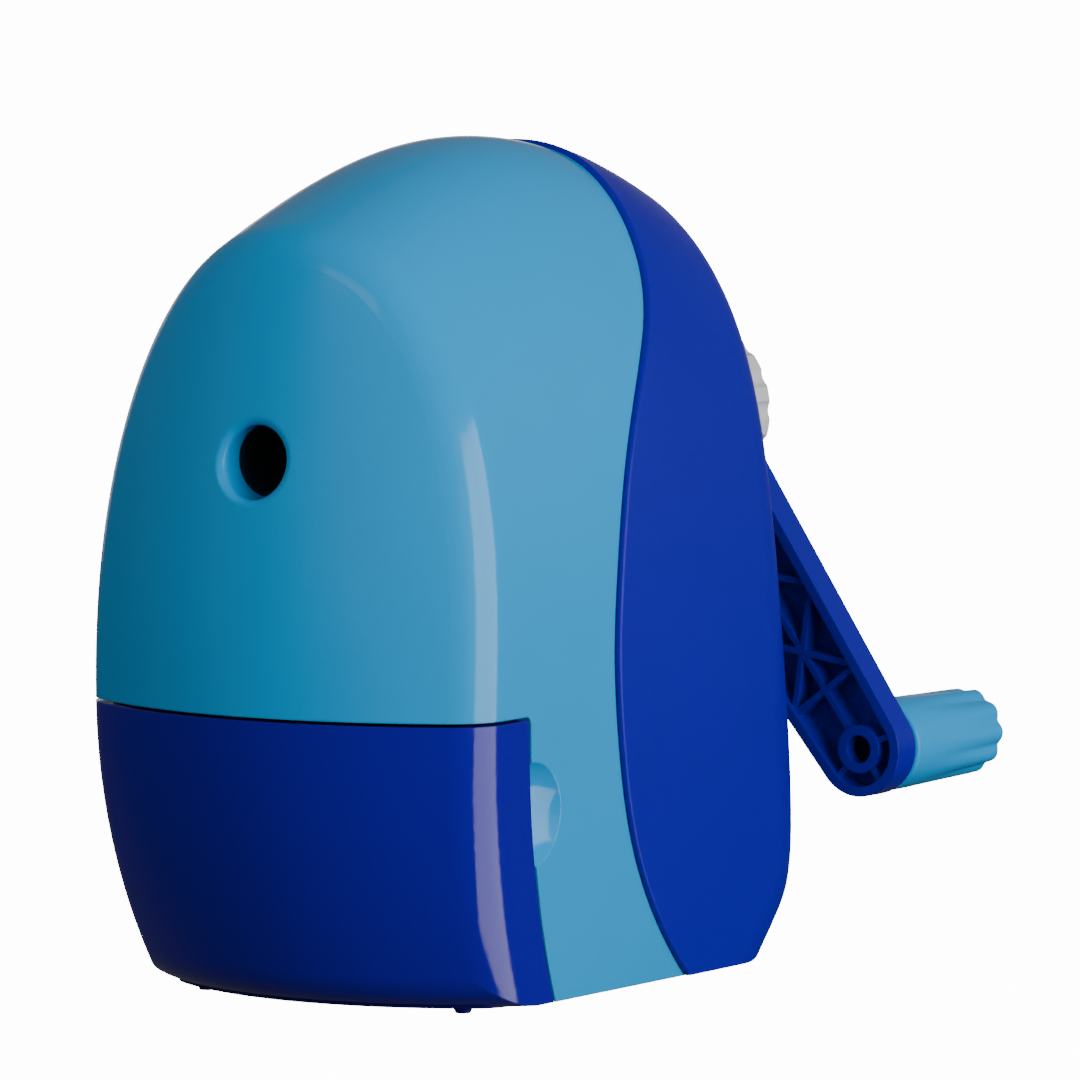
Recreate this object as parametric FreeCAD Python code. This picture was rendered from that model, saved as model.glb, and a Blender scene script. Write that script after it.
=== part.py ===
import FreeCAD, Part
import math
import os

from FreeCAD import Placement, Rotation, Vector

# Crank pencil sharpener. Millimetres, +Z up, the pencil goes in along +Y and
# the crank stands at the +Y end. Z = 0 is the table under the moulded pips.

# Outer form
PIP_HEIGHT = 0.9
PIP_TIP_RADIUS = 1.0
PIP_ROOT_RADIUS = 1.4
BODY_HEIGHT = 112.2
HALF_WIDTH = 31.6
BASE_TAPER = 3.0
WAIST_HEIGHT = 46.0
ARCH_POWER = 2.2
WALL = 2.2
REAR_PROUD = 0.7
FACE_ROUNDING = 8.0
REAR_ROUNDING = 10.0

# Front face: most forward point, bulge radius in plan and the two profile radii
FRONT_Y = -46.0
FRONT_BULGE = 54.0
FRONT_NOSE_HEIGHT = 40.0
FRONT_LOW_RADIUS = 80.0
FRONT_HIGH_RADIUS = 190.0

# Rear face: furthest point and bulge radius in plan
REAR_Y = 51.0
REAR_BULGE = 70.0

# Drawer front and tray
DRAWER_TOP = 39.7
DRAWER_WRAP = 21.2
DRAWER_GAP = 0.45
TRAY_HALF_WIDTH = 24.0
TRAY_REAR = 27.0
TRAY_TOP = 34.0
TRAY_WALL = 1.6
TRAY_LIFT = 0.5
BASE_THICKNESS = 2.0

# Finger scoops beside the drawer front
SCOOP_Y = -24.4
SCOOP_HEIGHT = 26.0
SCOOP_RADIUS = 7.3
SCOOP_DEPTH = 3.0

# Pencil way and crank axis
AXIS_HEIGHT = 72.6
PENCIL_BORE = 9.6
BORE_ROUNDING = 1.1
COLLAR_REAR = -39.0

# Cutter set: axes meet at APEX_Y, distances along the cutter axis count from there
CUTTER_TILT = 11.0
APEX_Y = 43.8
CUTTER_RADIUS = 4.8
CUTTER_FLUTES = 10
CUTTER_TWIST = 60.0
CUTTER_NEAR = 28.0
CUTTER_FAR = 47.8
PINION_TEETH = 12
RING_TEETH = 38
PINION_NEAR = 49.5
PINION_FAR = 55.5
AXLE_RADIUS = 1.6
RUN_GAP = 0.05

# Crank
SHAFT_RADIUS = 4.0
ROD_RADIUS = 2.0
ARM_LENGTH = 55.5
ARM_ANGLE = 53.3
ARM_HUB_RADIUS = 9.0
ARM_TIP_RADIUS = 6.5
ARM_FRONT = 53.0
ARM_HUB_DEPTH = 6.0
ARM_TIP_DEPTH = 5.1
ARM_SKIN = 1.5
ARM_RIM = 1.4
ARM_RIB = 0.9
GRIP_RADIUS = 6.3
GRIP_LENGTH = 23.7
GRIP_LOBES = 10
GRIP_COLLAR = 5.0
GRIP_PIN_RADIUS = 1.9
DIAL_RADIUS = 12.2
DIAL_DEPTH = 5.0
DIAL_LOBES = 16

# Fasteners
SCREW_HEAD = 2.6
SCREW_SHANK = 1.4
PILOT_RADIUS = SCREW_SHANK + 0.03

WIDE = 90.0
APEX = Vector(0, APEX_Y, AXIS_HEIGHT)
BORE_RADIUS = PENCIL_BORE / 2


def box(x0, x1, y0, y1, z0, z1):
    return Part.makeBox(x1 - x0, y1 - y0, z1 - z0, Vector(x0, y0, z0))


def rod(radius, y0, y1, x=0.0, z=AXIS_HEIGHT):
    return Part.makeCylinder(radius, y1 - y0, Vector(x, y0, z), Vector(0, 1, 0))


def post(radius, z0, z1, x, y):
    return Part.makeCylinder(radius, z1 - z0, Vector(x, y, z0))


def joined(shapes):
    whole = shapes[0]
    for other in shapes[1:]:
        whole = whole.fuse(other)
    return whole.removeSplitter()


def one_solid(shape):
    return max(shape.Solids, key=lambda s: s.Volume)


def curve(points):
    spline = Part.BSplineCurve()
    spline.interpolate(points)
    return spline.toShape()


def loop(points):
    spline = Part.BSplineCurve()
    spline.interpolate(points, PeriodicFlag=True)
    return Part.Wire([spline.toShape()])


def rounded(shape, edges, radius):
    """Round the edges, with a smaller radius where the full one doesn't fit."""
    for part in (1.0, 0.8, 0.6, 0.4):
        try:
            done = shape.makeFillet(radius * part, edges)
        except Exception:
            continue
        if done.isValid() and done.Solids:
            return one_solid(done)
    return shape


def edges_between(shape, first, second):
    """Edges of the shape that lie in both of two point tests."""
    found = []
    for edge in shape.Edges:
        span = edge.LastParameter - edge.FirstParameter
        places = [edge.valueAt(edge.FirstParameter + span * k) for k in (0.15, 0.5, 0.85)]
        if all(first(p) and second(p) for p in places):
            found.append(edge)
    return found


# Outer form: an arched tunnel along Y, closed by two bulged end faces

# Along Y: place, drop of the crown below BODY_HEIGHT, loss of half width
TUNNEL = (
    (-60.0, 20.4, 0.3),
    (-36.0, 10.6, 0.0),
    (-10.0, 1.4, 0.0),
    (14.0, 0.0, 0.0),
    (31.0, 4.8, 0.2),
    (60.0, 17.3, 1.6),
)

# Rear profile: distance in front of REAR_Y against height
REAR_PROFILE = (
    (11.0, -8.0),
    (6.5, 0.9),
    (1.4, 9.0),
    (0.5, 15.0),
    (1.1, 23.0),
    (4.3, 45.0),
    (6.5, 70.0),
    (7.5, 87.0),
    (12.0, 103.0),
    (23.0, 119.0),
)

# Seam between the two shells, seen from the side
SEAM = (
    (20.6, 122.0),
    (19.2, 110.7),
    (17.4, 103.0),
    (13.2, 92.0),
    (6.6, 82.2),
    (-0.2, 70.3),
    (-4.0, 57.0),
    (-5.1, 47.0),
    (-3.9, 34.5),
    (-0.4, 22.4),
    (5.4, 12.4),
    (11.8, 5.2),
    (19.5, -1.5),
    (28.0, -8.0),
)


def arch_side(drop, loss, inset, z_low):
    """Right half of a cross-section as (x, z), from the foot up to the crown."""
    half = HALF_WIDTH - loss - inset
    crown = BODY_HEIGHT - drop - inset
    side = []
    for k in range(3):
        z = z_low + (WAIST_HEIGHT - z_low) * k / 3
        t = (WAIST_HEIGHT - z) / (WAIST_HEIGHT - PIP_HEIGHT)
        side.append((half - BASE_TAPER * t * t, z))
    for k in range(8):
        turn = math.pi / 2 * k / 8
        x = half * math.cos(turn) ** (2 / ARCH_POWER)
        z = WAIST_HEIGHT + (crown - WAIST_HEIGHT) * math.sin(turn) ** (2 / ARCH_POWER)
        side.append((x, z))
    return side + [(0.0, crown)]


def arch_steps(z_low):
    """Curve parameters that all cross-sections share, from the lengths along the largest one."""
    side = arch_side(0.0, 0.0, 0.0, z_low)
    steps = [0.0]
    for (x0, z0), (x1, z1) in zip(side, side[1:]):
        steps.append(steps[-1] + math.hypot(x1 - x0, z1 - z0))
    return steps + [2 * steps[-1] - s for s in reversed(steps[:-1])]


def arch(y, drop, loss, inset, z_low):
    side = arch_side(drop, loss, inset, z_low)
    points = [Vector(x, y, z) for x, z in side]
    points += [Vector(-x, y, z) for x, z in reversed(side[:-1])]
    spline = Part.BSplineCurve()
    spline.interpolate(points, Parameters=arch_steps(z_low))
    return Part.Wire([spline.toShape(), Part.makeLine(points[-1], points[0])])


def front_setback(z):
    radius = FRONT_HIGH_RADIUS if z > FRONT_NOSE_HEIGHT else FRONT_LOW_RADIUS
    rise = z - FRONT_NOSE_HEIGHT
    return radius - math.sqrt(radius * radius - rise * rise)


def turned(profile, y_axis):
    """A solid turned about a vertical axis from (radius, z) edges' end points and edges."""
    first = profile[0].valueAt(profile[0].FirstParameter)
    last = profile[-1].valueAt(profile[-1].LastParameter)
    foot, head = Vector(0, 0, first.z), Vector(0, 0, last.z)
    ends = [Part.makeLine(last, head), Part.makeLine(head, foot)]
    edges = [Part.makeLine(foot, first)] + profile + ends
    solid = Part.Face(Part.Wire(edges)).revolve(Vector(0, 0, 0), Vector(0, 0, 1), 360)
    solid.translate(Vector(0, y_axis, 0))
    return solid


def front_limit(inset):
    def at(z):
        return Vector(FRONT_BULGE - inset - front_setback(z), 0, z)

    low, nose, high = -8.0, FRONT_NOSE_HEIGHT, BODY_HEIGHT + 20
    lower = Part.Arc(at(low), at((low + nose) / 2), at(nose)).toShape()
    upper = Part.Arc(at(nose), at((nose + high) / 2), at(high)).toShape()
    axis = FRONT_Y + FRONT_BULGE
    return turned([lower, upper], axis).fuse(box(-WIDE, WIDE, axis, axis + 150, low - 20, high + 20))


def rear_limit(inset):
    profile = curve([Vector(REAR_BULGE - inset - back, 0, z) for back, z in REAR_PROFILE])
    axis = REAR_Y - REAR_BULGE
    return turned([profile], axis).fuse(box(-WIDE, WIDE, axis - 150, axis, -30, BODY_HEIGHT + 60))


def form(inset, z_low=PIP_HEIGHT):
    """The body's outer form, moved in by the inset."""
    tunnel = Part.makeLoft([arch(y, drop, loss, inset, z_low) for y, drop, loss in TUNNEL], True)
    solid = one_solid(tunnel.common(front_limit(inset)).common(rear_limit(inset)))

    def ridge(back):
        found = []
        for edge in solid.Edges:
            kinds = [type(f.Surface).__name__ for f in solid.ancestorsOfType(edge, Part.Face)]
            ends = any(k in ("Toroid", "Sphere", "SurfaceOfRevolution") for k in kinds)
            if "BSplineSurface" in kinds and ends and (edge.CenterOfMass.y > 0) == back:
                found.append(edge)
        return found

    solid = rounded(solid, ridge(False), FACE_ROUNDING - inset)
    return rounded(solid, ridge(True), REAR_ROUNDING - inset)


def side_prism(edges):
    """A side-view outline in Y and Z, carried right across the width."""
    return Part.Face(Part.Wire(edges)).extrude(Vector(2 * WIDE, 0, 0))


def seam_prism(shift, rear):
    points = [Vector(-WIDE, y + shift, z) for y, z in SEAM]
    far = 120.0 if rear else -120.0
    top, low = Vector(-WIDE, far, points[0].z), Vector(-WIDE, far, points[-1].z)
    sides = [Part.makeLine(points[-1], low), Part.makeLine(low, top), Part.makeLine(top, points[0])]
    return side_prism([curve(points)] + sides)


def drawer_prism(gap):
    """The part of the form that belongs to the drawer front."""
    top = DRAWER_TOP - gap

    def at(z):
        return Vector(-WIDE, FRONT_Y + front_setback(z) + DRAWER_WRAP - gap, z)

    low = -8.0
    back = Part.Arc(at(low), at((low + top) / 2), at(top)).toShape()
    corner, foot = Vector(-WIDE, -120, top), Vector(-WIDE, -120, low)
    sides = [Part.makeLine(at(top), corner), Part.makeLine(corner, foot), Part.makeLine(foot, at(low))]
    prism = side_prism([back] + sides)
    edge = [e for e in prism.Edges if abs(e.CenterOfMass.z - top) < 0.01 and abs(e.CenterOfMass.x) < 0.01]
    edge = [e for e in edge if e.CenterOfMass.y > -100]
    return rounded(prism, edge, 1.2)


outer = form(0.0)
rear_outer = form(-REAR_PROUD)
cavity = form(WALL, -6.0)
mid_wall = form(WALL / 2)
front_side = seam_prism(0.0, False)
rear_side = seam_prism(0.2, True)

# Where things sit along the pencil axis
CUP_FRONT = -20.5
CUP_REAR = -3.4
RING_FRONT = -12.2
CUP_RADIUS = 21.0
RING_OUTSIDE = 18.8
LUG_RADIUS = 25.0
LUG_TURNS = (60.0, 120.0, 270.0)
PAD_REAR = 48.0
BUSH_FRONT = 35.0
BUSH_RADIUS = 6.0
BASE_SCREW_X = 17.0
BASE_SCREW_Y = 35.5
PIP_X = 20.5
PIP_FRONT = -24.4
PIP_REAR = 30.0
BOSS_RADIUS = 3.4
CLEAR_RADIUS = 1.6
SET_SCREW_RADIUS = 1.25
SHAFT_FLAT = 3.2
# Shell screws: x, z, end of the front shell's boss, start of the rear shell's boss
SHELL_SCREWS = ((-20.0, 43.0, -5.6, -4.2), (20.0, 43.0, -5.6, -4.2), (0.0, 101.5, 13.0, 18.2))


def lug_places():
    for turn in LUG_TURNS:
        a = math.radians(turn)
        yield LUG_RADIUS * math.cos(a), AXIS_HEIGHT + LUG_RADIUS * math.sin(a)


def screw(length, head_depth=1.9):
    """Pan-head screw along +Z, under-head plane at Z = 0, shank below."""
    head = Part.makeCylinder(SCREW_HEAD, head_depth)
    head = rounded(head, [e for e in head.Edges if e.CenterOfMass.z > head_depth - 0.01], 0.7)
    shank = Part.makeCylinder(SCREW_SHANK, length, Vector(0, 0, -length))
    tip = Part.makeCone(0.5, SCREW_SHANK, 1.2, Vector(0, 0, -length - 1.2))
    slots = [
        Part.makeBox(2.8, 0.6, 1.0, Vector(-1.4, -0.3, head_depth - 1.0)),
        Part.makeBox(0.6, 2.8, 1.0, Vector(-0.3, -1.4, head_depth - 1.0)),
    ]
    return one_solid(joined([head, shank, tip]).cut(slots[0].fuse(slots[1])))


def aimed(shape, place, direction):
    """Carry a shape built along +Z to a place, pointing along the direction."""
    moved = shape.copy()
    moved.Placement = Placement(place, Rotation(Vector(0, 0, 1), direction)).multiply(moved.Placement)
    return moved


def set_about_apex(shape, tilt):
    """Carry a shape built along +Z from the apex into the body: +Z becomes the way to the pencil mouth."""
    moved = shape.copy()
    moved.Placement = Placement(APEX, Rotation(Vector(1, 0, 0), 90 - tilt)).multiply(moved.Placement)
    return moved


# Housing

def make_front_shell():
    scoop_ball = (SCOOP_RADIUS ** 2 + SCOOP_DEPTH ** 2) / (2 * SCOOP_DEPTH)
    scoop_x = HALF_WIDTH - 0.6 + scoop_ball - SCOOP_DEPTH
    scoops = [Vector(side * scoop_x, SCOOP_Y, SCOOP_HEIGHT) for side in (-1, 1)]
    extras = [Part.makeSphere(scoop_ball + 1.7, at) for at in scoops]
    extras.append(rod(BORE_RADIUS + 2.4, -60, COLLAR_REAR))
    holes = [Part.makeSphere(scoop_ball, at) for at in scoops]
    holes += [drawer_prism(0.0), rod(BORE_RADIUS, -80, COLLAR_REAR + 5)]
    for x, z in lug_places():
        extras.append(rod(3.2, -60, CUP_FRONT, x, z))
        holes.append(rod(PILOT_RADIUS, CUP_FRONT - 10, CUP_FRONT + 1, x, z))
    for x, z, front_end, rear_end in SHELL_SCREWS:
        start = front_end - 15
        wing = 40 * (x > 0) - 40 * (x < 0)
        extras.append(rod(BOSS_RADIUS, start, front_end, x, z))
        rise = 30 * (x == 0)
        extras.append(box(min(x, wing) - 1, max(x, wing) + 1, start, front_end, z - 1, z + 1 + rise))
        holes.append(rod(PILOT_RADIUS, front_end - 12, front_end + 1, x, z))
    shell = outer.common(front_side).cut(cavity)
    shell = shell.fuse([mid_wall.common(extra) for extra in extras]).removeSplitter()
    shell = one_solid(shell.cut(holes))

    def on_mouth(p):
        return abs(math.hypot(p.x, p.z - AXIS_HEIGHT) - BORE_RADIUS) < 0.05

    def in_front(p):
        return p.y < COLLAR_REAR - 1.5

    return rounded(shell, edges_between(shell, on_mouth, in_front), BORE_ROUNDING)


def seam_lip(shell):
    """The edge where the rear shell's front end meets its outside."""
    ends = [f for f in shell.Faces if type(f.Surface).__name__ == "SurfaceOfExtrusion"]
    edges = [e for f in ends for e in f.Edges]
    return [max(edges, key=lambda e: e.Length)] if edges else []


mid_rear = form(0.2)


def make_rear_shell():
    shell = one_solid(rear_outer.common(rear_side).cut(cavity))
    shell = rounded(shell, seam_lip(shell), 0.45)
    seat = PIP_HEIGHT + BASE_THICKNESS
    posts, holes = [], [rod(BUSH_RADIUS, 20, 60)]
    for x, z, front_end, rear_end in SHELL_SCREWS:
        posts.append(rod(4.3, rear_end, 60, x, z))
        holes += [rod(1.7, rear_end - 1, 80, x, z), rod(3.0, rear_end + 8, 80, x, z)]
    for x in (-BASE_SCREW_X, BASE_SCREW_X):
        posts.append(post(BOSS_RADIUS, seat, 16, x, BASE_SCREW_Y))
        posts.append(box(x - 1, x + 1, BASE_SCREW_Y, 60, seat + 2, 15))
        holes.append(post(PILOT_RADIUS, 0, 13, x, BASE_SCREW_Y))
    extras = [mid_rear.common(p) for p in posts]
    extras += [rod(14.0, 41.0, PAD_REAR).cut(rod(13.0, 40, 45)), rod(9.0, BUSH_FRONT - 1.5, 46.0)]
    shell = shell.fuse(extras).removeSplitter()
    return one_solid(shell.cut(holes))


def make_base_plate():
    slab = box(-WIDE, WIDE, -80, 80, PIP_HEIGHT, PIP_HEIGHT + BASE_THICKNESS)
    plate = form(WALL + 0.4, -6.0).common(slab)
    spots = [(x, y) for x in (-PIP_X, PIP_X) for y in (PIP_FRONT, PIP_REAR)]
    pips, holes = [], []
    for x, y in [(0, 0), *spots]:
        pips.append(Part.makeCone(PIP_TIP_RADIUS, PIP_ROOT_RADIUS, PIP_HEIGHT, Vector(x, y, 0)))
    for x in (-BASE_SCREW_X, BASE_SCREW_X):
        holes.append(post(CLEAR_RADIUS, 0, 5, x, BASE_SCREW_Y))
        holes.append(post(SCREW_HEAD + 0.1, 0, PIP_HEIGHT + 1.0, x, BASE_SCREW_Y))
    return one_solid(plate.fuse(pips).removeSplitter().cut(holes))


def make_drawer():
    front = outer.common(drawer_prism(DRAWER_GAP)).cut(cavity)
    floor = PIP_HEIGHT + BASE_THICKNESS + TRAY_LIFT
    half, back = TRAY_HALF_WIDTH, TRAY_REAR
    tray = box(-half, half, -60, back, floor, TRAY_TOP)
    clear = half - TRAY_WALL
    inside = box(-clear, clear, -90, back - TRAY_WALL, floor + TRAY_WALL, TRAY_TOP + 9)
    tray = tray.cut(inside).common(mid_wall)
    middles = [(e, e.CenterOfMass) for e in tray.Edges]
    corners = [e for e, m in middles if abs(m.y - back) < 0.01 and abs(m.x) > half - 0.1]
    tray = rounded(one_solid(tray), corners, 3.0)
    return one_solid(joined([front, tray]))


def make_gear_frame():
    floor = CUP_FRONT + 3
    cup = rod(CUP_RADIUS, CUP_FRONT, CUP_REAR)
    parts = [rod(BORE_RADIUS + 2.2, COLLAR_REAR, CUP_FRONT + 1)]
    holes = [rod(RING_OUTSIDE - 1.2, floor, 5), rod(RING_OUTSIDE, RING_FRONT, 5), rod(BORE_RADIUS, -60, 5)]
    for turn in LUG_TURNS:
        ear = rod(4.0, CUP_FRONT, floor, LUG_RADIUS)
        strut = box(12, LUG_RADIUS, CUP_FRONT, floor, AXIS_HEIGHT - 4, AXIS_HEIGHT + 4)
        for piece in (ear, strut):
            piece.rotate(Vector(0, 0, AXIS_HEIGHT), Vector(0, 1, 0), -turn)
            parts.append(piece)
    for x, z in lug_places():
        holes.append(rod(CLEAR_RADIUS, -40, 5, x, z))
    return one_solid(cup.fuse(parts).cut(holes).removeSplitter())


# Cutter gears: cones about the apex, so teeth shrink evenly towards it

RATIO = RING_TEETH / PINION_TEETH
TILT = math.radians(CUTTER_TILT)
PINION_CONE = math.atan(math.sin(TILT) / (RATIO - math.cos(TILT)))
PINION_MID = (PINION_NEAR + PINION_FAR) / 2
PINION_PITCH = PINION_MID * math.tan(PINION_CONE)
TOOTH = 2 * PINION_PITCH / PINION_TEETH
CONE_LENGTH = PINION_MID / math.cos(PINION_CONE)
RING_PITCH = CONE_LENGTH * math.sin(PINION_CONE + TILT)
RING_MID = CONE_LENGTH * math.cos(PINION_CONE + TILT)


def toothed(count, near, far, near_part, far_part, z, scale):
    """Closed toothed outline: 'far' radius over far_part of each pitch, 'near' radius over the rest."""
    pitch = 2 * math.pi / count
    points = []
    for k in range(count):
        middle = math.pi / 2 + k * pitch
        for radius, part in ((near, -near_part), (far, -far_part), (far, far_part), (near, near_part)):
            turn = middle + part * pitch / 2
            points.append(Vector(radius * scale * math.cos(turn), radius * scale * math.sin(turn), z))
    return Part.makePolygon(points + points[:1])


def toothed_cone(count, near, far, near_part, far_part, middle, z0, z1):
    wires = [toothed(count, near, far, near_part, far_part, z, z / middle) for z in (z0, z1)]
    return Part.makeLoft(wires, True, True)


def make_pinion():
    tip, root = PINION_PITCH + 0.8 * TOOTH, PINION_PITCH - 1.15 * TOOTH
    gear = toothed_cone(PINION_TEETH, root, tip, 0.62, 0.2, PINION_MID, PINION_NEAR, PINION_FAR)
    gear = gear.cut(Part.makeCylinder(2.6, 80))
    return one_solid(set_about_apex(gear, CUTTER_TILT))


def make_ring_gear():
    tip, root = RING_PITCH - 0.8 * TOOTH, RING_PITCH + 1.2 * TOOTH
    z0, z1 = APEX_Y - CUP_REAR, APEX_Y - RING_FRONT
    blank = Part.makeCylinder(RING_OUTSIDE, z1 - z0, Vector(0, 0, z0))
    space = toothed_cone(RING_TEETH, tip, root, 0.78, 0.42, RING_MID, z0 - 1, z1 + 1)
    return one_solid(set_about_apex(blank.cut(space), 0))


def make_cutter():
    sections = []
    steps = 6
    for k in range(steps + 1):
        z = CUTTER_NEAR + (CUTTER_FAR - CUTTER_NEAR) * k / steps
        points = []
        for flute in range(CUTTER_FLUTES):
            base = 2 * math.pi * flute / CUTTER_FLUTES + math.radians(CUTTER_TWIST) * k / steps
            for radius, part in ((CUTTER_RADIUS, 0.0), (CUTTER_RADIUS, 0.22), (CUTTER_RADIUS - 0.85, 0.62)):
                turn = base + part * 2 * math.pi / CUTTER_FLUTES
                points.append(Vector(radius * math.cos(turn), radius * math.sin(turn), z))
        sections.append(Part.makePolygon(points + points[:1]))
    body = Part.makeLoft(sections, True, False)
    nose = Part.makeCylinder(2.6, PINION_FAR - CUTTER_FAR + 0.6, Vector(0, 0, CUTTER_FAR - 0.6))
    body = body.fuse(nose)
    body = body.cut(Part.makeCylinder(AXLE_RADIUS + RUN_GAP, 90))
    return one_solid(set_about_apex(body, CUTTER_TILT))


DISC_FRONT = -16.8
DISC_REAR = -13.8
BLOCK_FRONT = 19.6
BLOCK_REAR = 26.6
HUB_REAR = 33.0
SHAFT_FRONT = 24.0
SHAFT_REAR = ARM_FRONT + ARM_HUB_DEPTH + 3.1
AXLE_NEAR = 21.6
AXLE_FAR = 60.8


def make_axle():
    axle = Part.makeCylinder(AXLE_RADIUS, AXLE_FAR - AXLE_NEAR, Vector(0, 0, AXLE_NEAR))
    return set_about_apex(axle, CUTTER_TILT)


def make_carrier():
    disc = rod(13.6, DISC_FRONT, DISC_REAR)
    block = rod(12.0, BLOCK_FRONT, BLOCK_REAR)
    hub = rod(7.0, BLOCK_FRONT, HUB_REAR)
    beam = rod(12.0, DISC_FRONT, BLOCK_REAR).cut(rod(7.6, -60, 60))
    keep = box(-WIDE, WIDE, -60, 60, 0, AXIS_HEIGHT - 3.6)
    body = joined([disc, block, hub, beam.common(keep)])
    body = body.cut(rod(BORE_RADIUS + 0.7, -60, BLOCK_FRONT))
    body = body.cut(rod(ROD_RADIUS + 0.1, -60, 60))
    body = body.cut(rod(SHAFT_RADIUS, SHAFT_FRONT, 60))
    body = body.cut(make_axle())
    body = body.cut(Part.makeCylinder(SET_SCREW_RADIUS, 20, Vector(0, 30, AXIS_HEIGHT)))
    return one_solid(body)


def arm_way():
    a = math.radians(ARM_ANGLE)
    return Vector(math.cos(a), 0, -math.sin(a))


ARM_END = Vector(0, 0, AXIS_HEIGHT) + arm_way() * ARM_LENGTH


def make_shaft():
    shaft = rod(SHAFT_RADIUS, SHAFT_FRONT, SHAFT_REAR)
    shaft = shaft.cut(rod(ROD_RADIUS + RUN_GAP, 0, 90))
    flat = Part.makeBox(20, 20, 20, Vector(-10, -10, 0))
    flat = aimed(flat, Vector(0, ARM_FRONT + 8, AXIS_HEIGHT) - arm_way() * SHAFT_FLAT, arm_way() * -1)
    return one_solid(shaft.cut(flat.common(rod(9.0, ARM_FRONT - 2, ARM_FRONT + ARM_HUB_DEPTH + 0.1))))


def make_set_screw(inner, outer_end, place, way):
    body = Part.makeCylinder(SET_SCREW_RADIUS, outer_end - inner, Vector(0, 0, inner))
    corners = []
    for k in range(7):
        turn = k * math.pi / 3
        corners.append(Vector(0.7 * math.cos(turn), 0.7 * math.sin(turn), outer_end))
    key = Part.Face(Part.makePolygon(corners)).extrude(Vector(0, 0, -1.2))
    return one_solid(aimed(body.cut(key), place, way))


def in_arm(shape):
    """Carry a shape from the arm's own frame (u along the arm, v across, w to the rear) into place."""
    way = arm_way()
    across = Vector(0, 1, 0).cross(way)
    matrix = FreeCAD.Matrix(
        way.x, across.x, 0, 0,
        way.y, across.y, 1, ARM_FRONT,
        way.z, across.z, 0, AXIS_HEIGHT,
        0, 0, 0, 1,
    )
    moved = shape.copy()
    moved.Placement = Placement(matrix).multiply(moved.Placement)
    return moved


def stadium(radius_hub, radius_tip, w0, w1):
    """Two round ends with straight sides that touch both."""
    lean = math.asin((radius_hub - radius_tip) / ARM_LENGTH)
    left = Vector(math.sin(lean), math.cos(lean), 0)
    right = Vector(left.x, -left.y, 0)
    ahead = Vector(1, 0, 0)
    hub, tip = Vector(0, 0, w0), Vector(ARM_LENGTH, 0, w0)
    hub_left, hub_right = hub + left * radius_hub, hub + right * radius_hub
    tip_left, tip_right = tip + left * radius_tip, tip + right * radius_tip
    edges = [
        Part.Arc(hub_left, hub - ahead * radius_hub, hub_right).toShape(),
        Part.LineSegment(hub_right, tip_right).toShape(),
        Part.Arc(tip_right, tip + ahead * radius_tip, tip_left).toShape(),
        Part.LineSegment(tip_left, hub_left).toShape(),
    ]
    return Part.Face(Part.Wire(edges)).extrude(Vector(0, 0, w1 - w0))


def rib(u0, v0, u1, v1, depth):
    length = math.hypot(u1 - u0, v1 - v0)
    bar = Part.makeBox(length, ARM_RIB, depth, Vector(0, -ARM_RIB / 2, 0))
    bar.rotate(Vector(0, 0, 0), Vector(0, 0, 1), math.degrees(math.atan2(v1 - v0, u1 - u0)))
    bar.translate(Vector(u0, v0, 0.7))
    return bar


def arm_back(offset):
    """Everything in front of the arm's sloping rear face."""
    slope = (ARM_TIP_DEPTH - ARM_HUB_DEPTH) / ARM_LENGTH
    u0, u1 = -20.0, ARM_LENGTH + 20
    low = [Vector(u0, -WIDE, -9), Vector(u1, -WIDE, -9)]
    high = [Vector(u, -WIDE, ARM_HUB_DEPTH + slope * u - offset) for u in (u1, u0)]
    return Part.Face(Part.makePolygon(low + high + low[:1])).extrude(Vector(0, 2 * WIDE, 0))


def rim_middle(u):
    """Distance from the arm's middle line to the middle of its rim."""
    return ARM_HUB_RADIUS - ARM_RIM / 2 - (ARM_HUB_RADIUS - ARM_TIP_RADIUS) * u / ARM_LENGTH


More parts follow.
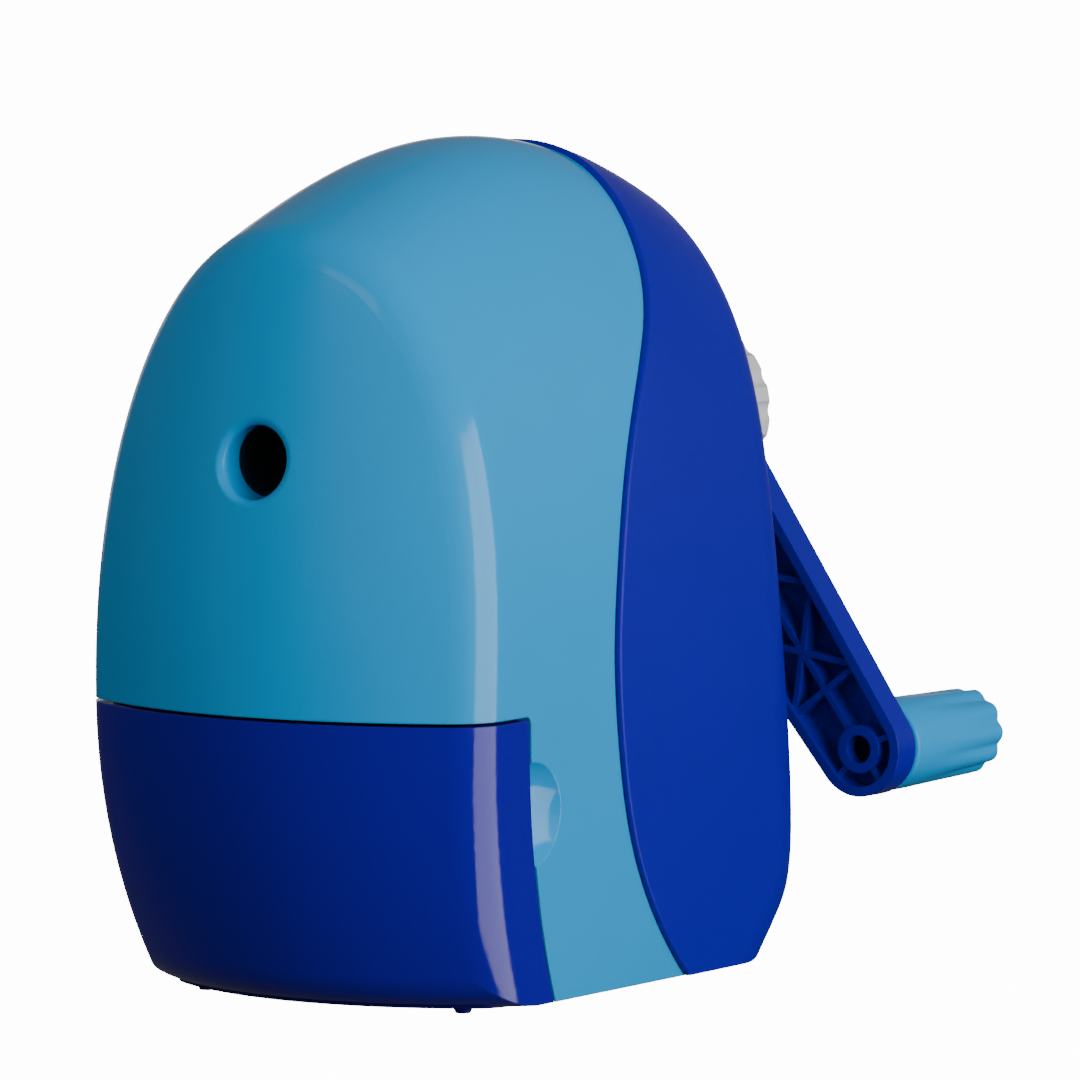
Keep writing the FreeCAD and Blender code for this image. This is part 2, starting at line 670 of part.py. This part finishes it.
def make_arm():
    level = Part.makeBox(2 * WIDE, 2 * WIDE, ARM_HUB_DEPTH + 9, Vector(-WIDE, -WIDE, -9))
    solid = stadium(ARM_HUB_RADIUS, ARM_TIP_RADIUS, 0, 14).common(arm_back(0)).common(level)
    solid = one_solid(solid)
    back = [e for e in solid.Edges if e.CenterOfMass.z > 3 and all(v.Point.z > 3 for v in e.Vertexes)]
    back = [e for e in back if len(solid.ancestorsOfType(e, Part.Face)) == 2]
    back = [e for e in back if any(f.normalAt(0, 0).z > 0.9 for f in solid.ancestorsOfType(e, Part.Face))]
    solid = rounded(solid, back, 0.8)
    inside = stadium(ARM_HUB_RADIUS - ARM_RIM, ARM_TIP_RADIUS - ARM_RIM, -1, 14)
    hollow = inside.common(arm_back(ARM_SKIN))
    cross = rim_middle(45.9)
    ribs = [rib(7.0, 0, ARM_LENGTH - 3, 0, 14), rib(45.9, -cross, 45.9, cross, 14)]
    for near, far in ((32.9, 45.9), (19.9, 32.9)):
        start, end = rim_middle(near), rim_middle(far)
        ribs += [rib(near, -start, far, end, 14), rib(near, start, far, -end, 14)]
    boss = Part.makeCylinder(3.3, 14, Vector(ARM_LENGTH, 0, 0.2))
    ribs.append(boss)
    for turn in (0.0, 78.0, -78.0):
        a = math.radians(turn)
        spoke = rim_middle(ARM_LENGTH)
        ribs.append(rib(ARM_LENGTH, 0, ARM_LENGTH + spoke * math.cos(a), spoke * math.sin(a), 14))
    hub = Part.makeCylinder(ARM_HUB_RADIUS - ARM_RIM, 16, Vector(0, 0, -2))
    filling = joined(ribs).common(inside).common(arm_back(0.4))
    solid = solid.cut(hollow).fuse(filling).fuse(hub.common(arm_back(0)).common(level))
    solid = one_solid(solid.removeSplitter())
    solid = solid.cut(Part.makeCylinder(GRIP_PIN_RADIUS, 30, Vector(ARM_LENGTH, 0, -5)))
    arm = in_arm(solid)
    bore = rod(SHAFT_RADIUS, 40, 90)
    seat = Vector(0, 55, AXIS_HEIGHT) - arm_way() * SHAFT_FLAT
    flat = aimed(Part.makeBox(20, 60, 20, Vector(-10, -30, 0)), seat, arm_way() * -1)
    arm = arm.cut(bore.cut(flat))
    hole = Part.makeCylinder(SET_SCREW_RADIUS, 30)
    return one_solid(arm.cut(aimed(hole, Vector(0, 57, AXIS_HEIGHT), arm_way() * -1)))


GRIP_START = ARM_FRONT + ARM_TIP_DEPTH + 0.5
GRIP_END = GRIP_START + GRIP_LENGTH


def lobed(radius, depth, y):
    """Outline of the grip across its length: round lobes with narrow valleys."""
    points = []
    total = GRIP_LOBES * 8
    for k in range(total):
        turn = 2 * math.pi * k / total
        wave = math.sqrt(math.cos(GRIP_LOBES * turn / 2) ** 2 + 0.05)
        r = radius - depth * (1.22 - wave)
        points.append(ARM_END + Vector(r * math.cos(turn), y, r * math.sin(turn)))
    return loop(points)


# Along the fluted length: share of it, depth of the flutes, loss of radius
GRIP_ROWS = (
    (0.0, 0.02, 0.05),
    (0.15, 0.12, 0.05),
    (0.45, 0.38, 0.1),
    (0.75, 0.58, 0.15),
    (1.0, 0.7, 0.25),
)


def make_grip():
    x, z = ARM_END.x, ARM_END.z
    start, end = GRIP_START + GRIP_COLLAR, GRIP_END - 0.8
    wires = []
    for part, depth, shrink in GRIP_ROWS:
        wires.append(lobed(GRIP_RADIUS - shrink, depth, start + (end - start) * part))
    brim = Part.makeLoft([wires[-1], lobed(GRIP_RADIUS - 0.9, 0.62, GRIP_END)], True, True)
    collar = rod(GRIP_RADIUS, GRIP_START, start, x, z)
    ring = [e for e in collar.Edges if abs(e.CenterOfMass.y - GRIP_START) < 0.05 and e.Length > 20]
    grip = rounded(collar, ring, 0.6).fuse([Part.makeLoft(wires, True), brim])
    grip = grip.cut([rod(GRIP_PIN_RADIUS + RUN_GAP, 0, 200, x, z), rod(3.4, GRIP_END - 4.0, 200, x, z)])
    return one_solid(grip)


def make_grip_pin():
    x, z = ARM_END.x, ARM_END.z
    pin = rod(GRIP_PIN_RADIUS, ARM_FRONT + 2.2, GRIP_END - 1.6, x, z)
    return joined([pin, rod(3.0, GRIP_END - 3.6, GRIP_END - 1.6, x, z)])


DIAL_FRONT = ARM_FRONT + ARM_HUB_DEPTH + 0.4


def make_dial():
    rear = DIAL_FRONT + DIAL_DEPTH
    disc = rod(DIAL_RADIUS, DIAL_FRONT, rear)
    rim = [e for e in disc.Edges if abs(e.CenterOfMass.y - rear) < 0.05 and e.Length > 20]
    disc = rounded(disc, rim, 0.8)
    scallops = []
    for k in range(DIAL_LOBES):
        turn = 2 * math.pi * k / DIAL_LOBES
        far = DIAL_RADIUS + 1.1
        scallops.append(rod(1.8, 50, 90, far * math.cos(turn), AXIS_HEIGHT + far * math.sin(turn)))
    disc = disc.cut(scallops).cut(rod(9.2, rear - 1.2, rear + 5))
    bar = box(-8.6, 8.6, rear - 2, rear + 1.6, AXIS_HEIGHT - 2.4, AXIS_HEIGHT + 2.4)
    bar = bar.common(rod(9.0, 0, 120))
    bar = rounded(one_solid(bar), [e for e in bar.Edges if e.CenterOfMass.y > rear + 1.5], 0.8)
    shaft_end = rod(SHAFT_RADIUS + RUN_GAP, 0, SHAFT_REAR + 0.4)
    return one_solid(disc.fuse(bar).removeSplitter().cut([shaft_end, rod(ROD_RADIUS + RUN_GAP, 0, 120)]))


def make_stop_rod():
    tip = Part.makeCone(1.2, ROD_RADIUS, 1.5, Vector(0, 19.0, AXIS_HEIGHT), Vector(0, 1, 0))
    return joined([tip, rod(ROD_RADIUS, 20.5, ARM_FRONT + ARM_HUB_DEPTH + 4.4)])


def make_bush():
    bush = joined([rod(BUSH_RADIUS, BUSH_FRONT, PAD_REAR), rod(8.5, PAD_REAR, PAD_REAR + 1.5)])
    return one_solid(bush.cut(rod(SHAFT_RADIUS + RUN_GAP, 0, 90)))


def make_washer():
    return rod(7.4, PAD_REAR + 1.8, ARM_FRONT - 2.0).cut(rod(SHAFT_RADIUS, 0, 90))


def make_shell_screws():
    made = []
    for x, z, front_end, rear_end in SHELL_SCREWS:
        length = rear_end + 8 - front_end + 9
        made.append(aimed(screw(length), Vector(x, rear_end + 8, z), Vector(0, 1, 0)))
    return made


def make_frame_screws():
    return [aimed(screw(9.0), Vector(x, CUP_FRONT + 3, z), Vector(0, 1, 0)) for x, z in lug_places()]


def make_base_screws():
    made = []
    for x in (-BASE_SCREW_X, BASE_SCREW_X):
        seat = Vector(x, BASE_SCREW_Y, PIP_HEIGHT + 1.0)
        made.append(aimed(screw(8.0, 1.0), seat, Vector(0, 0, -1)))
    return made


NODES = {
    "front_shell": [make_front_shell()],
    "rear_shell": [make_rear_shell()],
    "base_plate": [make_base_plate()],
    "drawer": [make_drawer()],
    "gear_frame": [make_gear_frame()],
    "ring_gear": [make_ring_gear()],
    "cutter_pinion": [make_pinion()],
    "helical_cutter": [make_cutter()],
    "cutter_axle": [make_axle()],
    "cutter_carrier": [make_carrier()],
    "crank_shaft": [make_shaft()],
    "hub_set_screw": [make_set_screw(4.0, 6.8, Vector(0, 30, AXIS_HEIGHT), Vector(0, 0, 1))],
    "shaft_bush": [make_bush()],
    "thrust_washer": [make_washer()],
    "crank_arm": [make_arm()],
    "arm_set_screw": [make_set_screw(SHAFT_FLAT, 8.2, Vector(0, 57, AXIS_HEIGHT), arm_way() * -1)],
    "grip_pin": [make_grip_pin()],
    "handle_grip": [make_grip()],
    "point_dial": [make_dial()],
    "point_stop_rod": [make_stop_rod()],
    "shell_screws": make_shell_screws(),
    "frame_screws": make_frame_screws(),
    "base_screws": make_base_screws(),
}

os.makedirs("parts", exist_ok=True)
for name, solids in NODES.items():
    shape = solids[0] if len(solids) == 1 else Part.Compound(solids)
    shape.exportStep("parts/" + name + ".step")
    print(name, len(shape.Solids), round(shape.Volume, 1), shape.isValid())
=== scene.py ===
"""Crank pencil sharpener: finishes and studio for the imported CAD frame."""

import math

import bpy
from bpy.props import FloatProperty, FloatVectorProperty, PointerProperty
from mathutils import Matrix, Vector

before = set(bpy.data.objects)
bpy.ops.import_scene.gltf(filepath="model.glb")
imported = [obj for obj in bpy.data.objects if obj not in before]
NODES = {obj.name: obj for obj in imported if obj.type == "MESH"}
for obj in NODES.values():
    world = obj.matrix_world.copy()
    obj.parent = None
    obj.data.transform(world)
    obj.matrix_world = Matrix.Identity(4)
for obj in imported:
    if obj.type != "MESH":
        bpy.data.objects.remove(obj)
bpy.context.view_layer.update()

bl_info = {
    "name": "Crank Pencil Sharpener",
    "version": (1, 0, 0),
    "blender": (4, 5, 0),
    "location": "View3D > Sidebar > Sharpener",
    "description": "Finishes a crank pencil sharpener and sets it in a soft studio",
    "category": "Object",
}

WHITE = (1.0, 1.0, 1.0, 1.0)
EVEN = (1.0, 1.0, 1.0)

# All plastics: refraction, radius of the moulded edges in metres
PLASTIC_IOR = 1.42
EDGE_RADIUS = 0.0003
EDGE_SAMPLES = 4

# Gloss plastic: colour drift, handling marks that dull it, ripple of the skin
GLOSS_DRIFT = 0.05
GLOSS_DRIFT_SIZE = 0.03
MARK_SIZE = 0.0012
MARK_DETAIL = 4.0
MARK_STRETCH = (1.0, 0.12, 0.3)
MARK_BAND = (0.56, 0.75)
MARK_DULLING = 0.04
RIPPLE_SIZE = 0.004
RIPPLE_DEPTH = 0.000003

# Satin plastic: colour drift, grain of the moulded skin
SATIN_DRIFT = 0.06
SATIN_DRIFT_SIZE = 0.02
SATIN_SHINE = 0.3
GRAIN_SIZE = 0.0003
GRAIN_DEPTH = 0.00002
FINE_GRAIN_DEPTH = 0.000008
GRAIN_DULLING = 0.12

# Metals: tool marks, dull patches with their darkest and lightest colour
TOOL_MARK_SIZE = 0.0004
TOOL_MARK_DETAIL = 3.0
TOOL_MARK_DEPTH = 0.000008
TOOL_MARK_DULLING = 0.15
PATCH_SIZE = 0.004
PATCH_TONES = (0.85, 1.08)
PATCH_DULLING = 0.08

# Each metal's sRGB colour, roughness, stretch of its tool marks and nodes
METALS = {
    "die cast": ((0.66, 0.67, 0.69), 0.4, EVEN, ("cutter_carrier", "ring_gear")),
    "tool steel": ((0.6, 0.61, 0.63), 0.25, (1.0, 0.2, 1.0), ("helical_cutter", "cutter_pinion")),
    "zinc plate": (
        (0.75, 0.76, 0.78),
        0.28,
        EVEN,
        (
            "cutter_axle",
            "crank_shaft",
            "hub_set_screw",
            "arm_set_screw",
            "thrust_washer",
            "point_stop_rod",
            "shell_screws",
            "frame_screws",
            "base_screws",
        ),
    ),
    "blackened pin": ((0.2, 0.2, 0.22), 0.4, (1.0, 0.1, 1.0), ("grip_pin",)),
    "bush brass": ((0.8, 0.64, 0.34), 0.3, (1.0, 0.1, 1.0), ("shaft_bush",)),
}
# Gear frame: a dark colour that paints the shade deep inside the pencil hole
FRAME_PAINTED_SHADE_COLOUR = (0.10, 0.22, 0.28)
# Base plate: the drawer's navy times this, a painted shade under the drawer
BASE_PAINTED_SHADE = 0.4

# Where the middle of the body stands in the 1080 pixel frame
FRAME_PIXELS = 1080
MIDDLE_PIXEL = (437.0, 556.0)
BODY_MIDDLE = Vector((0.0, 0.0, 0.057))
SENSOR_WIDTH = 36.0
CLIP_END = 20.0

# Softboxes: azimuth and elevation in degrees, distance and size in metres
SOFTBOXES = {
    "key": dict(azimuth=75.0, elevation=9.0, distance=1.2, size=(0.7, 0.7), shine=False),
    "fill": dict(azimuth=-5.0, elevation=20.0, distance=1.3, size=(0.8, 0.8), shine=False),
    "rear": dict(azimuth=135.0, elevation=8.0, distance=1.2, size=(0.6, 0.6), shine=False),
    "strip": dict(azimuth=98.5, elevation=-10.0, distance=0.7, size=(0.6, 0.95), glow=False),
    "window": dict(azimuth=-4.0, elevation=34.0, distance=1.3, size=(0.55, 0.25), glow=False),
    "backdrop": dict(azimuth=222.0, elevation=4.0, distance=1.0, size=(1.0, 0.25), glow=False),
}

# Floor, and the heights between which the air goes from dim to bright
FLOOR_REACH = 6.0
FLOOR_GLOW = 14.0
FLOOR_COLOUR = (0.85, 0.85, 0.86, 1.0)
FLOOR_ROUGHNESS = 0.7
HORIZON = (-0.15, 0.25)


class Signal:
    """One socket of a material's nodes, with arithmetic that adds Math nodes."""

    def __init__(self, finish, socket):
        self.finish = finish
        self.socket = socket

    def math(self, operation, first, second):
        return self.finish.node("ShaderNodeMath", {"operation": operation}, {0: first, 1: second})

    def __add__(self, other):
        return self.math("ADD", self, other)

    def __radd__(self, other):
        return self.math("ADD", other, self)

    def __sub__(self, other):
        return self.math("SUBTRACT", self, other)

    def __rsub__(self, other):
        return self.math("SUBTRACT", other, self)

    def __mul__(self, other):
        return self.math("MULTIPLY", self, other)

    def __rmul__(self, other):
        return self.math("MULTIPLY", other, self)


class Finish:
    """A material, or the world, whose nodes are added through one method, node()."""

    def __init__(self, name, kind="materials"):
        self.owner = getattr(bpy.data, kind).new(name)
        self.owner.use_nodes = True
        self.tree = self.owner.node_tree
        self.tree.nodes.clear()

    def node(self, kind, settings=None, inputs=None, output=0):
        """Add a node: settings first, then sockets by index or name; gives the output as a Signal."""
        made = self.tree.nodes.new(kind)
        for key, value in (settings or {}).items():
            setattr(made, key, value)
        for key, value in (inputs or {}).items():
            if isinstance(value, Signal):
                self.tree.links.new(value.socket, made.inputs[key])
            else:
                made.inputs[key].default_value = value
        return Signal(self, made.outputs[output]) if made.outputs else None

    def place(self, stretch):
        """Object coordinates in metres, stretched along the axes."""
        where = self.node("ShaderNodeTexCoord", output="Object")
        if stretch == EVEN:
            return where
        return self.node("ShaderNodeMapping", {}, {"Vector": where, "Scale": stretch})

    def noise(self, size, detail=2.0, stretch=EVEN):
        """Noise from 0 to 1 whose blobs are about size metres across."""
        values = {"Vector": self.place(stretch), "Scale": 1.0 / size, "Detail": detail}
        return self.node("ShaderNodeTexNoise", {}, values)

    def band(self, value, low, high):
        """0 below low, 1 above high, straight between."""
        values = {0: value, 1: low, 2: high, 3: 0.0, 4: 1.0}
        return self.node("ShaderNodeMapRange", {"clamp": True}, values)

    def mix(self, factor, first, second):
        """Colour mix: first at 0, second at 1. Sockets 6 and 7, and output 2, are the node's colours."""
        settings = {"data_type": "RGBA"}
        return self.node("ShaderNodeMix", settings, {0: factor, 6: first, 7: second}, output=2)

    def drifting(self, colour, size, change):
        """Colour that is up to change weaker or stronger in patches of size metres."""
        return self.mix(self.noise(size), scaled(colour, 1 - change), scaled(colour, 1 + change))

    def eased_edges(self):
        """Normals of moulded edges with a small radius."""
        return self.node("ShaderNodeBevel", {"samples": EDGE_SAMPLES}, {"Radius": EDGE_RADIUS})

    def bump(self, height, depth, normal=None):
        """Bump from a 0 to 1 height that stands for depth metres, on a normal where one is given."""
        values = {"Height": height, "Distance": depth}
        if normal:
            values["Normal"] = normal
        return self.node("ShaderNodeBump", {}, values)

    def close(self, **sockets):
        """Principled shader with the given sockets, joined to the output."""
        named = {}
        for key, value in sockets.items():
            named[key.replace("_", " ").title().replace("Ior", "IOR")] = value
        shader = self.node("ShaderNodeBsdfPrincipled", {}, named)
        self.node("ShaderNodeOutputMaterial", {}, {"Surface": shader})
        return self.owner


def linear(colour):
    """sRGB triple to a linear colour with alpha."""
    parts = [c / 12.92 if c <= 0.04045 else ((c + 0.055) / 1.055) ** 2.4 for c in colour]
    return (*parts, 1.0)


def scaled(colour, factor):
    """Colour times factor, opaque."""
    return (*(c * factor for c in colour[:3]), 1.0)


def gloss_plastic(name, colour, roughness):
    """Moulded gloss plastic: slight colour drift, handling marks, a soft skin ripple and eased edges."""
    finish = Finish(name)
    marks = finish.band(finish.noise(MARK_SIZE, MARK_DETAIL, MARK_STRETCH), *MARK_BAND)
    ripple = finish.noise(RIPPLE_SIZE, detail=1.0)
    return finish.close(
        base_color=finish.drifting(colour, GLOSS_DRIFT_SIZE, GLOSS_DRIFT),
        roughness=roughness + marks * MARK_DULLING,
        normal=finish.bump(ripple, RIPPLE_DEPTH, finish.eased_edges()),
        ior=PLASTIC_IOR,
    )


def satin_plastic(name, colour, roughness, grain_size=GRAIN_SIZE, grain_depth=GRAIN_DEPTH):
    """Moulded satin plastic with a fine even grain and eased edges."""
    finish = Finish(name)
    grain = finish.noise(grain_size)
    return finish.close(
        base_color=finish.drifting(colour, SATIN_DRIFT_SIZE, SATIN_DRIFT),
        roughness=roughness + (grain - 0.5) * GRAIN_DULLING,
        normal=finish.bump(grain, grain_depth, finish.eased_edges()),
        ior=PLASTIC_IOR,
        specular_ior_level=SATIN_SHINE,
    )


def worked_metal(name, colour, roughness, stretch):
    """Machined or cast metal with tool marks along one way and dull patches."""
    finish = Finish(name)
    marks = finish.noise(TOOL_MARK_SIZE, TOOL_MARK_DETAIL, stretch)
    patches = finish.noise(PATCH_SIZE)
    darkest, lightest = (scaled(colour, tone) for tone in PATCH_TONES)
    return finish.close(
        base_color=finish.mix(patches, darkest, lightest),
        metallic=1.0,
        roughness=roughness + marks * TOOL_MARK_DULLING + patches * PATCH_DULLING,
        normal=finish.bump(marks, TOOL_MARK_DEPTH),
    )


class ShellColours(bpy.types.PropertyGroup):
    """Colours of the plastics, scene linear."""

    cyan: FloatVectorProperty(
        name="Cyan",
        description="Front shell and grip",
        subtype="COLOR",
        default=(0.0, 0.43, 0.95),
    )
    blue: FloatVectorProperty(
        name="Blue",
        description="Rear shell and arm",
        subtype="COLOR",
        default=(0.008, 0.0, 0.42),
    )
    navy: FloatVectorProperty(
        name="Navy",
        description="Drawer and, in a darker shade, base",
        subtype="COLOR",
        default=(0.016, 0.0, 0.40),
    )
    white: FloatVectorProperty(
        name="White",
        description="Point dial",
        subtype="COLOR",
        default=(0.85, 0.85, 0.87),
    )


class StudioSizes(bpy.types.PropertyGroup):
    """Camera and lights."""

    azimuth: FloatProperty(
        name="Azimuth",
        description="Camera turn from the front towards +X",
        subtype="ANGLE",
        default=math.radians(34.0),
    )
    elevation: FloatProperty(
        name="Elevation",
        description="Camera height angle",
        subtype="ANGLE",
        default=math.radians(5.5),
    )
    distance: FloatProperty(
        name="Distance",
        description="Camera to the middle of the body",
        unit="LENGTH",
        default=1.453,
    )
    focal_pixels: FloatProperty(
        name="Focal length",
        description="Focal length in pixels of a 1080 pixel frame",
        default=10900.0,
    )
    key_power: FloatProperty(
        name="Key light",
        description="Soft light from the right",
        unit="POWER",
        default=12.0,
    )
    fill_power: FloatProperty(
        name="Fill light",
        description="Soft light by the camera",
        unit="POWER",
        default=2.2,
    )
    rear_power: FloatProperty(
        name="Rear fill",
        description="Soft light on the crank",
        unit="POWER",
        default=2.0,
    )
    strip_power: FloatProperty(
        name="Strip light",
        description="Tall softbox that shines on the corner",
        unit="POWER",
        default=8.4,
    )
    window_power: FloatProperty(
        name="Window light",
        description="Faint softbox above the camera",
        unit="POWER",
        default=0.5,
    )
    backdrop_power: FloatProperty(
        name="Backdrop light",
        description="Pale panel behind the body",
        unit="POWER",
        default=0.45,
    )
    air: FloatProperty(name="Air", description="Even light from above", min=0.0, default=0.21)
    ground: FloatProperty(name="Ground", description="Even light from below", min=0.0, default=0.06)


def dress(material, *nodes):
    """Give CAD nodes one material."""
    for name in nodes:
        data = NODES[name].data
        data.materials.clear()
        data.materials.append(material)


class SHARPENER_OT_shells(bpy.types.Operator):
    """Finish the two shells, the drawer and the base"""

    bl_idname = "sharpener.shells"
    bl_label = "Finish shells"

    def execute(self, context):
        colours = context.scene.sharpener_colours
        dress(gloss_plastic("cyan gloss", colours.cyan, roughness=0.12), "front_shell")
        dress(satin_plastic("blue satin", colours.blue, roughness=0.36), "rear_shell")
        # The base is a darkened copy of the drawer's navy: painted shade under the drawer
        shade = scaled(colours.navy, BASE_PAINTED_SHADE)
        dress(satin_plastic("navy satin", shade, roughness=0.5), "base_plate")
        dress(gloss_plastic("navy gloss", colours.navy, roughness=0.12), "drawer")
        return {"FINISHED"}


class SHARPENER_OT_crank(bpy.types.Operator):
    """Finish the crank arm, its grip and the point dial"""

    bl_idname = "sharpener.crank"
    bl_label = "Finish crank"

    def execute(self, context):
        colours = context.scene.sharpener_colours
        smooth = {"roughness": 0.3, "grain_depth": FINE_GRAIN_DEPTH}
        dress(gloss_plastic("blue arm", colours.blue, roughness=0.25), "crank_arm")
        dress(satin_plastic("cyan grip", colours.cyan, **smooth), "handle_grip")
        dress(satin_plastic("white dial", colours.white, **smooth), "point_dial")
        return {"FINISHED"}


class SHARPENER_OT_mechanism(bpy.types.Operator):
    """Finish the gear frame, cutter set, shaft, bush and screws"""

    bl_idname = "sharpener.mechanism"
    bl_label = "Finish mechanism"

    def execute(self, context):
        # The gear frame is coloured dark as painted shade for the pencil hole
        dark = satin_plastic("dark frame", linear(FRAME_PAINTED_SHADE_COLOUR), roughness=0.45, grain_size=0.0004)
        dress(dark, "gear_frame")
        for name, (colour, roughness, stretch, nodes) in METALS.items():
            dress(worked_metal(name, linear(colour), roughness, stretch), *nodes)
        return {"FINISHED"}


def view_axes(azimuth, elevation):
    """Right, up and forward of a camera at the azimuth from -Y towards +X."""
    sin_a, cos_a = math.sin(azimuth), math.cos(azimuth)
    sin_e, cos_e = math.sin(elevation), math.cos(elevation)
    forward = Vector((-sin_a * cos_e, cos_a * cos_e, -sin_e))
    right = Vector((cos_a, sin_a, 0.0))
    return right, right.cross(forward), forward


def softbox(name, power, azimuth, elevation, distance, size, shine=True, glow=True):
    """Area light that faces the body from azimuth and elevation in degrees.

    Shine: shows in reflections. Glow: lights matt surfaces.
    """
    forward = view_axes(math.radians(azimuth), math.radians(elevation))[2]
    data = bpy.data.lights.new(name, "AREA")
    data.shape = "RECTANGLE"
    data.size, data.size_y = size
    data.energy = power
    lamp = bpy.data.objects.new(name, data)
    lamp.location = BODY_MIDDLE - forward * distance
    lamp.rotation_euler = forward.to_track_quat("-Z", "Y").to_euler()
    lamp.visible_glossy = shine
    lamp.visible_diffuse = glow
    bpy.context.scene.collection.objects.link(lamp)


class SHARPENER_OT_studio(bpy.types.Operator):
    """Set the camera, the floor and the lights"""

    bl_idname = "sharpener.studio"
    bl_label = "Set studio"

    def execute(self, context):
        sizes = context.scene.sharpener_studio
        self.add_camera(context, sizes)
        self.add_floor(context)
        for name, setting in SOFTBOXES.items():
            softbox(name, getattr(sizes, f"{name}_power"), **setting)
        self.add_air(context, sizes)
        return {"FINISHED"}

    def add_camera(self, context, sizes):
        """Camera turned so that the middle of the body falls on its pixel."""
        right, up, forward = view_axes(sizes.azimuth, sizes.elevation)
        data = bpy.data.cameras.new("camera")
        data.sensor_width = SENSOR_WIDTH
        data.lens = sizes.focal_pixels / FRAME_PIXELS * data.sensor_width
        data.clip_end = CLIP_END
        camera = bpy.data.objects.new("camera", data)
        context.scene.collection.objects.link(camera)
        per_pixel = sizes.distance / sizes.focal_pixels
        aim = BODY_MIDDLE + right * (FRAME_PIXELS / 2 - MIDDLE_PIXEL[0]) * per_pixel
        aim += up * (MIDDLE_PIXEL[1] - FRAME_PIXELS / 2) * per_pixel
        camera.location = BODY_MIDDLE - forward * sizes.distance
        camera.rotation_euler = (aim - camera.location).to_track_quat("-Z", "Y").to_euler()
        context.scene.camera = camera

    def add_floor(self, context):
        """Bright floor that neither lights the body nor shows in it."""
        mesh = bpy.data.meshes.new("floor")
        reach = FLOOR_REACH
        corners = [(-reach, -reach, 0), (reach, -reach, 0), (reach, reach, 0), (-reach, reach, 0)]
        mesh.from_pydata(corners, [], [(0, 1, 2, 3)])
        floor = bpy.data.objects.new("floor", mesh)
        context.scene.collection.objects.link(floor)
        finish = Finish("pale floor")
        mesh.materials.append(
            finish.close(
                base_color=FLOOR_COLOUR,
                roughness=FLOOR_ROUGHNESS,
                emission_color=WHITE,
                emission_strength=FLOOR_GLOW,
            )
        )
        floor.visible_diffuse = False
        floor.visible_glossy = False

    def add_air(self, context, sizes):
        """Even light that is weaker from below the horizon."""
        air = Finish("studio air", "worlds")
        way = air.node("ShaderNodeTexCoord", output="Generated")
        height = air.node("ShaderNodeSeparateXYZ", {}, {0: way}, output="Z")
        strength = sizes.ground + air.band(height, *HORIZON) * (sizes.air - sizes.ground)
        light = air.node("ShaderNodeBackground", {}, {"Color": WHITE, "Strength": strength})
        air.node("ShaderNodeOutputWorld", {}, {"Surface": light})
        context.scene.world = air.owner


class SHARPENER_PT_panel(bpy.types.Panel):
    """Lists the steps that finish the sharpener"""

    bl_idname = "SHARPENER_PT_panel"
    bl_label = "Sharpener"
    bl_space_type = "VIEW_3D"
    bl_region_type = "UI"
    bl_category = "Sharpener"

    def draw(self, context):
        for step in STEPS:
            self.layout.operator(step.bl_idname)


STEPS = (SHARPENER_OT_shells, SHARPENER_OT_crank, SHARPENER_OT_mechanism, SHARPENER_OT_studio)
CLASSES = (ShellColours, StudioSizes, *STEPS, SHARPENER_PT_panel)


def register():
    for cls in CLASSES:
        bpy.utils.register_class(cls)
    bpy.types.Scene.sharpener_colours = PointerProperty(type=ShellColours)
    bpy.types.Scene.sharpener_studio = PointerProperty(type=StudioSizes)


def unregister():
    del bpy.types.Scene.sharpener_studio
    del bpy.types.Scene.sharpener_colours
    for cls in reversed(CLASSES):
        bpy.utils.unregister_class(cls)


def main():
    register()
    bpy.ops.sharpener.shells()
    bpy.ops.sharpener.crank()
    bpy.ops.sharpener.mechanism()
    bpy.ops.sharpener.studio()


if __name__ == "__main__":
    main()
